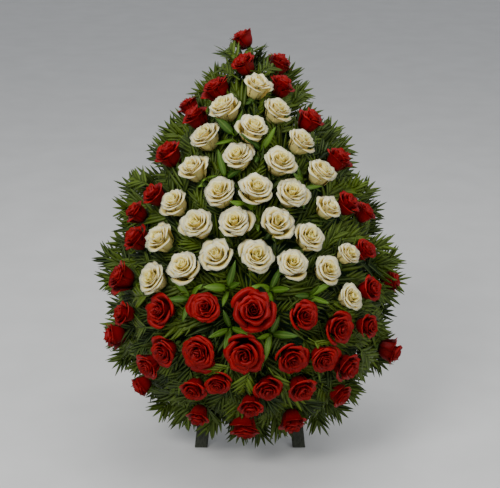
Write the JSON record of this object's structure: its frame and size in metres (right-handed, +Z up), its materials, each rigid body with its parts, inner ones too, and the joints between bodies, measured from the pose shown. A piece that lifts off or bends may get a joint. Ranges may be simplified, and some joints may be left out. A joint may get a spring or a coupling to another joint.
{
  "type": "funeral wreath",
  "caption": "Teardrop funeral wreath: a dome of white roses bordered and filled below with red roses, edged with palm fronds, leaning on a low wooden easel.",
  "frame": {"origin": "on the floor under the middle of the part's box", "axes": "+Z up, the wreath's face looks along -Y and leans back, +X to the right seen from the front"},
  "size_m": [0.5856, 0.5054, 0.7551],
  "materials": {
    "white_petals": "soft matt petals, cream with paler rims",
    "red_petals": "velvety matt petals, dark at the back",
    "frond_green": "satin green leaflets",
    "leaf_green": "glossy green leaves",
    "foam_green": "matt open-celled foam",
    "painted_wood": "dark green-black stain"
  },
  "bodies": {
    "root": {"white_roses_01": "white_petals", "white_roses_02": "white_petals", "white_roses_03": "white_petals", "white_roses_04": "white_petals", "white_roses_05": "white_petals", "white_roses_06": "white_petals", "white_roses_07": "white_petals", "white_roses_08": "white_petals", "white_roses_09": "white_petals", "white_roses_10": "white_petals", "red_roses_01": "red_petals", "red_roses_02": "red_petals", "red_roses_03": "red_petals", "red_roses_04": "red_petals", "red_roses_05": "red_petals", "red_roses_06": "red_petals", "red_roses_07": "red_petals", "red_roses_08": "red_petals", "red_roses_09": "red_petals", "red_roses_10": "red_petals", "red_roses_11": "red_petals", "red_roses_12": "red_petals", "red_roses_13": "red_petals", "red_roses_14": "red_petals", "red_roses_15": "red_petals", "red_roses_16": "red_petals", "red_roses_17": "red_petals", "red_roses_18": "red_petals", "palm_fronds_01": "frond_green", "palm_fronds_02": "frond_green", "palm_fronds_03": "frond_green", "palm_fronds_04": "frond_green", "palm_fronds_05": "frond_green", "palm_fronds_06": "frond_green", "palm_fronds_07": "frond_green", "palm_fronds_08": "frond_green", "palm_fronds_09": "frond_green", "palm_fronds_10": "frond_green", "palm_fronds_11": "frond_green", "palm_fronds_12": "frond_green", "palm_fronds_13": "frond_green", "leaf_spray_01": "leaf_green", "leaf_spray_02": "leaf_green", "leaf_spray_03": "leaf_green", "leaf_spray_04": "leaf_green", "leaf_spray_05": "leaf_green", "leaf_spray_06": "leaf_green", "leaf_spray_07": "leaf_green", "leaf_spray_08": "leaf_green", "leaf_spray_09": "leaf_green", "leaf_spray_10": "leaf_green", "leaf_spray_11": "leaf_green", "floral_foam": "foam_green", "backing_board": "painted_wood", "easel_leg_left": "painted_wood", "easel_leg_right": "painted_wood", "easel_leg_rear": "painted_wood", "easel_ledge": "painted_wood", "easel_rail": "painted_wood", "easel_block": "painted_wood"}
  },
  "joints": []
}
